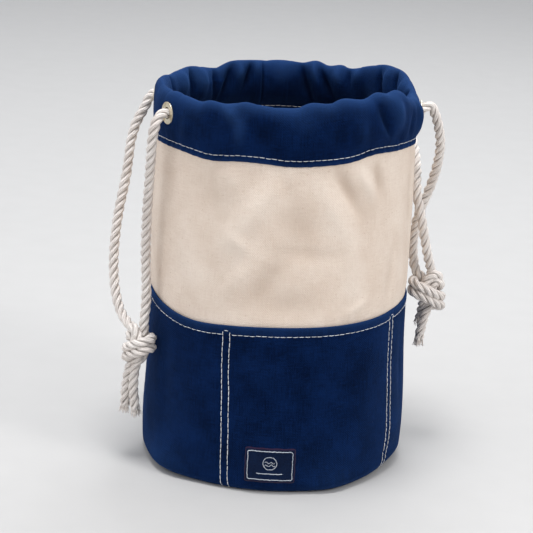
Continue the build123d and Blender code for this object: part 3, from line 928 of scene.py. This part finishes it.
def build_casing():
    """The casing, from its hem up over the rim and down inside. Returns its points by row."""
    angle = round_the_bag(900)
    rows = smooth_rows(casing_section(angle), ROW_STEPS)
    radius, height = rows[..., 0], rows[..., 1]
    position = np.arange(len(rows))[:, None] / ROW_STEPS
    outer = 1 - smoothstep(position, 11.5, 14)
    inner = smoothstep(position, 12.2, 16)
    crown = smoothstep(position, 9, 12.8) * (1 - smoothstep(position, 13.2, 17))
    hem_calm = smoothstep(position, 4.6, 8) * (1 - smoothstep(position, 18.5, 21))
    calm = near_grommet(angle, height)
    calm = calm * outer + (1 - outer)
    pleat = pleats(angle, height)
    turn = np.radians(angle)
    shift = sag(angle, 250.0) * (1 - outer * (1 - calm))
    fold = outer * calm * hem_calm * folded(angle, height, CASING_FOLDS)
    facing = inner * hem_calm * facing_shift(angle, height)
    shift = shift + fold - facing
    shift = shift + outer * calm * 0.45 * hem_calm * (pleat - 0.5)
    ripple = 0.22 * np.sin(67 * turn + 1.5 * np.sin(5 * turn)) + 0.14 * np.sin(103 * turn)
    shift = shift + ripple * outer * (1 - smoothstep(position, 4, 8))
    seam = wall_distance(angle, SEAM_ANGLE)
    overlap = smoothstep(seam, -0.5, 0.5) - smoothstep(seam, 5, 12)
    shift = shift + (outer - inner) * CASING_LAP * overlap
    height = height + crown * (0.9 * (pleat - 0.4))
    points = polar(radius + shift, angle, height)
    # Colour tone of the casing: the hem's edge is real wear; the crown is a painted highlight
    # along the rim's fold; folds and pleats get painted light on their crowns and painted shade in
    # their hollows; deep inside is painted shade; the patch near -122 degrees is painted light on
    # pleats that face the key lamp.
    hem_edge = 0.5 * np.exp(-((position - 2.6) / 1.3) ** 2)
    deep_inside_shade = inner * smoothstep(286 - height, 0, 22)
    painted_lit_patch = inner * np.exp(-(wrapped(angle + 122) / 20) ** 2) * smoothstep(height, 262, 284)
    painted_shading_and_wear = crown + hem_edge + 0.17 * fold + 0.15 * facing - 0.4 * deep_inside_shade + 0.6 * painted_lit_patch
    closed_ring_cloth("casing_cloth", "casing_band", points, angle, arc_length(rows.mean(1)),
                      NAVY, np.clip(painted_shading_and_wear, -0.85, 1), clear_of_grommets)
    return points


def sew_casing(points):
    """The casing's hem stitches, outside and inside."""
    outer_row, inner_row = (np.concatenate([row, row[:1]]) for row in (
        points[CASING_STITCH_KEY * ROW_STEPS], points[FACING_STITCH_KEY * ROW_STEPS]))
    spokes = unit(outer_row * (1, 1, 0))
    rows = [stitch_row(outer_row, spokes, 1), stitch_row(inner_row, -spokes, 2, thread=0.16)]
    thread_piece("casing_hem_stitches", "casing_hem_thread", rows, THREAD)


sew_casing(build_casing())

POCKET_ROWS = 84          # rows below the hem
# The pocket band's hem: distance below its top edge, distance out of its face
POCKET_HEM = ((6.9, -0.15), (6.3, 0.1), (5.2, 0.35), (3.0, 0.42), (1.0, 0.4), (0.3, 0.2),
              (0.0, -0.3), (0.15, -0.9), (0.8, -1.35), (3, -1.5), (8, -1.5), (16, -1.6))
HEM_WEAR = (0.1, 0.2, 0.25, 0.35, 0.6, 0.8, 0.8)     # of the hem's rows up to its edge


def build_pocket():
    """The pocket band, from the base's edge up to its top and down inside its hem."""
    angle = round_the_bag(1000)
    top = run_at(pocket_edge(angle))
    share = np.linspace(0, 1, POCKET_ROWS)[:, None]
    below = pocket_surface(angle, share * (top - POCKET_STITCH_DROP - 1.2))
    hem = [pocket_surface(angle, top - down, out) for down, out in POCKET_HEM]
    points = np.concatenate([below, hem])
    # Painted light on the pocket's bulges and painted shade in its folds; the hem rows below take
    # real wear up to the edge.
    painted_shading_and_wear = 0.05 * folded(angle, points[..., 2], POCKET_FOLDS)
    painted_shading_and_wear[POCKET_ROWS:POCKET_ROWS + len(HEM_WEAR)] = np.array(HEM_WEAR)[:, None]
    closed_ring_cloth("pocket_cloth", "pocket_band", points, angle, arc_length(points[:, 0]),
                      NAVY, painted_shading_and_wear)


def build_body():
    """The body: its outside, its inside and the corner where it turns in under the base."""
    angle = round_the_bag(720)
    outer_radius = BAG_RADIUS - POCKET_CANVAS
    heights = np.concatenate([[112], np.linspace(118, 257, 100)])[:, None]
    seam = wall_distance(angle, SEAM_ANGLE)
    felled = smoothstep(seam, -4.6, -3.8) - smoothstep(seam, 3.6, 5.4)
    shift = wall_shift(angle, heights) + SEAM_THICKNESS * felled
    outside = polar(outer_radius + shift, angle, heights)
    down = np.concatenate([[257], np.linspace(250, 14, 60)])[:, None]
    inside = polar(outer_radius - CANVAS + lining_shift(angle, down), angle, down)
    bend = np.radians(np.linspace(8, 90, 8))[:, None]
    corner_radius = CORNER_RADIUS - POCKET_CANVAS - CANVAS
    level = CORNER_RADIUS - corner_radius * np.sin(bend)
    corner_shift = lining_shift(angle, level) * np.cos(bend) ** 0.5
    corner = polar(BAG_RADIUS - CORNER_RADIUS + corner_radius * np.cos(bend) + corner_shift,
                   angle, level)
    end = polar(84.0, angle, 2.75)
    points = np.concatenate([outside, inside, corner, [end]])
    folds_with_painted_shading = BODY_FOLDS[1:]          # the first is the broad bulge, which gets no painted light or shade
    # Painted shade in the hollows of the folds and painted light on their ridges.
    painted_shading_and_wear = 0.24 * folded(angle, points[..., 2], folds_with_painted_shading)
    closed_ring_cloth("body_cloth", "body_panel", points, angle, arc_length(points[:, 0]),
                      NATURAL, painted_shading_and_wear)


def face_line(surface, across, up):
    """Points of a surface and the directions out of it there."""
    line = surface(across, up)
    return line, unit(surface(across, up, 1.0) - line)


def sew_pocket_hem():
    """Stitches of the pocket hem, broken off at the pocket seams."""
    angle = np.linspace(-180, 180, 1001)
    line = pocket_surface(angle, run_at(pocket_edge(angle) - POCKET_STITCH_DROP), -0.1)
    spokes = unit(line * (1, 1, 0))
    at_seam = divider_offset(angle) < TWIN_STITCH / 2 + 0.6
    ends = [0, *(np.flatnonzero(np.diff(at_seam.astype(int))) + 1), len(angle)]
    rows = []
    for index, (first, last) in enumerate(zip(ends, ends[1:])):
        if not at_seam[first] and last - first > 6:
            rows.append(stitch_row(line[first:last], spokes[first:last], 10 + index))
    thread_piece("pocket_hem_stitches", "pocket_hem_thread", rows, THREAD)


def sew_divider(number, seam, foot):
    """One pocket seam: up one side, a bar across the top, up the other side."""
    half = TWIN_STITCH / 2
    top = float(run_at(pocket_edge(seam) - POCKET_STITCH_DROP)) + 3.0
    upright = np.arange(DIVIDER_START, top, 0.5)
    rows = []
    for index, (across, run) in enumerate((
            (np.full(len(upright), -half), upright),
            (np.linspace(-half + 0.2, half - 0.2, 9), np.full(9, top)),
            (np.full(len(upright), half), upright))):
        drift = 0.28 * np.sin(run / 17 + seam) + 0.12 * np.sin(run / 6)
        drift = drift + foot * (1 - run / top) ** 2
        angles = seam + np.degrees((across + drift) / BAG_RADIUS)
        rows.append(stitch_row(*face_line(pocket_surface, angles, run),
                               20 + 10 * index + number, **DIVIDER_STITCH))
    thread_piece(f"pocket_divider_stitches_{number}", f"pocket_divider_thread_{number}",
                 rows, THREAD)


def sew_body_seam():
    """Two rows of stitches up the body's back seam."""
    height = np.arange(128.0, 253.0, 0.5)
    rows = []
    for index, offset in enumerate((-TWIN_STITCH / 2, TWIN_STITCH / 2)):
        angles = SEAM_ANGLE + np.degrees(offset / BAG_RADIUS)
        radius = BAG_RADIUS - POCKET_CANVAS + SEAM_THICKNESS + wall_shift(angles, height)
        line = polar(radius, angles, height)
        rows.append(stitch_row(line, unit(line * (1, 1, 0)), 30 + index))
    thread_piece("body_seam_stitches", "body_seam_thread", rows, THREAD)


build_pocket()
build_body()
sew_pocket_hem()
for number, (seam, foot) in enumerate(zip(DIVIDER_ANGLES, DIVIDER_FEET), start=1):
    sew_divider(number, seam, foot)
sew_body_seam()


def base_disc(name, node, radii, level, lift, material):
    """Disc of cloth, slightly hollow: facing down where its radii grow, else facing up."""
    angle = round_the_bag(240)
    hollow = lift * (1 - (radii / BASE_RADIUS) ** 2)
    puff = 0.12 * np.sin(np.radians(angle) * 40) * smoothstep(radii, 70, 86)[:, None]
    height = level + np.clip(hollow, 0, None)[:, None] + np.abs(puff)
    points = polar(radii[:, None], angle, height)
    faces = grid_faces(len(radii), len(angle), closed_columns=True).tolist()
    hub = list(range(len(angle)))
    if radii[0] > radii[-1]:
        hub = [corner + (len(radii) - 1) * len(angle) for corner in hub[::-1]]
    faces.append(hub)
    disc = add_object(name, points, faces, material, points[..., :2].reshape(-1, 2))
    bag_piece(disc, node)


def build_base():
    """Outer base, facing down, inner base, facing up, and the seam seen inside."""
    base_disc("base_cloth", "base_outer", np.linspace(0.5, BASE_RADIUS + 0.6, 60), 0.05, 0.5,
              NAVY)
    base_disc("inner_base_cloth", "base_inner", np.linspace(BASE_RADIUS + 0.4, 0.5, 60), 2.8,
              0.35, NATURAL)
    line = polar(83.0, np.linspace(-180, 180, 721), 2.95)
    upwards = np.broadcast_to(np.array([0.0, 0.0, 1.0]), line.shape)
    thread_piece("base_seam_stitches", "base_seam_thread", [stitch_row(line, upwards, 35)], THREAD)


build_base()


# ---- label
def label_surface(x, z, out=0.0):
    """Points on the label's face, by millimetres across and up from its middle."""
    angle = LABEL_ANGLE + np.degrees(np.asarray(x, float) / BAG_RADIUS)
    pucker = 0.10 * np.sin(np.asarray(x) * 1.1 + 0.5) * np.sin(np.asarray(z) * 0.9)
    run = run_at(LABEL_MIDDLE) + np.asarray(z, float)
    return pocket_surface(angle, run, LABEL_THICKNESS + out + pucker)


def build_label():
    """Woven patch with a folded, rounded edge."""
    width, height = LABEL_SIZE
    columns, rows = 96, 68
    s = np.linspace(-1, 1, columns)[None]
    t = np.linspace(-1, 1, rows)[:, None]
    pull = 0.16 * (np.cos(t * 9) + np.cos(s * 11)) * np.maximum(np.abs(s), np.abs(t)) ** 6
    corner = (np.abs(s) * np.abs(t)) ** 14
    x = s * (width / 2 - 0.55 * corner - pull * np.abs(s))
    z = t * (height / 2 - 0.55 * corner - pull * np.abs(t))
    rim = np.minimum((1 - np.abs(s)) * width / 2, (1 - np.abs(t)) * height / 2)
    edge = -0.55 * np.exp(-(rim / 0.5) ** 2) + 0.12 * np.exp(-((rim - 1.0) / 0.6) ** 2)
    stitched = -0.12 * np.exp(-((rim - LABEL_BORDER) / 0.5) ** 2)
    face = label_surface(x, z, edge + stitched)
    back = label_surface(x, z, -LABEL_THICKNESS - 0.25)
    index = np.arange(rows * columns).reshape(rows, columns)
    border = np.concatenate([index[0], index[1:, -1], index[-1, -2::-1], index[-2:0:-1, 0]])
    following = np.roll(border, -1)
    edge_faces = np.stack([following, border, border + index.size, following + index.size], -1)
    faces = grid_faces(rows, columns).tolist() + edge_faces.tolist()
    uv = np.stack([x.ravel(), z.ravel()], -1)
    label = add_object("label_cloth", [face, back], faces, LABEL, np.concatenate([uv, uv]))
    worn = np.exp(-(rim / 0.8) ** 2)
    point_attribute(label, "painted_shading_and_wear", [worn, worn])
    bag_piece(label, "label_patch")


def label_line(outline, seed, pitch, length, radius):
    """Embroidered line on the label."""
    fine = resampled(outline, np.arange(0, arc_length(outline)[-1], 0.25), outline)
    return stitch_row(*face_line(label_surface, *fine.T), seed, pitch, length, radius)


def ring_outline(x, z, radius):
    turn = np.linspace(0, 2 * math.pi, 61)
    return np.stack([x + radius * np.cos(turn), z + radius * np.sin(turn)], -1)


def wave_outline(x0, x1, z, swing, waves):
    x = np.linspace(x0, x1, 61)
    return np.stack([x, z + swing * np.sin((x - x0) / (x1 - x0) * 2 * math.pi * waves)], -1)


def build_label_thread():
    """Border with round corners, a ring with two waves in it, and a bar."""
    half_width, half_height = (side / 2 - LABEL_BORDER for side in LABEL_SIZE)
    turn = np.radians(np.linspace(0, 90, 6))
    round_off = 1.2
    corners = []
    for cx, cz, first in ((1, 1, 0), (-1, 1, 90), (-1, -1, 180), (1, -1, 270)):
        corners += [(cx * (half_width - round_off) + round_off * math.cos(v),
                     cz * (half_height - round_off) + round_off * math.sin(v))
                    for v in turn + math.radians(first)]
    border = np.array(corners + corners[:1])
    rows = [label_line(border, 60, 1.9, 2.1, 0.3),
            label_line(ring_outline(0, 1.9, 5.0), 61, 1.2, 1.25, 0.25),
            label_line(wave_outline(-3.6, 3.6, 2.4, 0.6, 2), 62, 1.2, 1.25, 0.2),
            label_line(wave_outline(-3.9, 3.9, 0.3, 0.6, 2), 63, 1.2, 1.25, 0.2),
            label_line(np.array([(-9.5, -6.4), (9.5, -6.4)]), 64, 1.4, 1.5, 0.3)]
    thread_piece("label_stitches", "label_thread", rows, LABEL_THREAD)


build_label()
build_label_thread()

# ---- metal
for node_name, node in NODES.items():
    if node_name.startswith(("grommet_", "washer_")):
        node.data.materials.clear()
        node.data.materials.append(METAL)


# ---- floor and light
def add_floor():
    """Pale floor, not a piece of the bag."""
    floor = add_object("floor", [(-4000, -4000, 0), (4000, -4000, 0), (4000, 4000, 0),
                                 (-4000, 4000, 0)], [[0, 1, 2, 3]], floor_material())


def add_light(name, place, size, power, colour):
    data = bpy.data.lights.new(name, "AREA")
    data.shape = "DISK"
    data.size = size
    data.energy = power
    data.color = colour
    light = bpy.data.objects.new(name, data)
    light.location = place
    aim = Vector((0, 0, 0.16)) - Vector(place)
    light.rotation_mode = "QUATERNION"
    light.rotation_quaternion = aim.to_track_quat("-Z", "Y")
    SCENE.collection.objects.link(light)


add_floor()
add_light("key", (1.9, -1.3, 1.6), 0.7, 21, (1.0, 0.985, 0.975))
add_light("fill", (-2.1, -1.5, 1.2), 3.4, 18, (0.985, 0.985, 1.0))
add_light("back", (0.3, 1.5, 2.0), 1.5, 20, (0.97, 0.985, 1.0))
add_light("top", (-0.1, -0.3, 2.2), 0.7, 27, (0.99, 0.99, 1.0))
world = bpy.data.worlds.new("studio")
world.use_nodes = True
world.node_tree.nodes["Background"].inputs["Color"].default_value = rgb(0.93, 0.95, 1.0)
world.node_tree.nodes["Background"].inputs["Strength"].default_value = 0.75
SCENE.world = world
SCENE.view_settings.view_transform = "Standard"
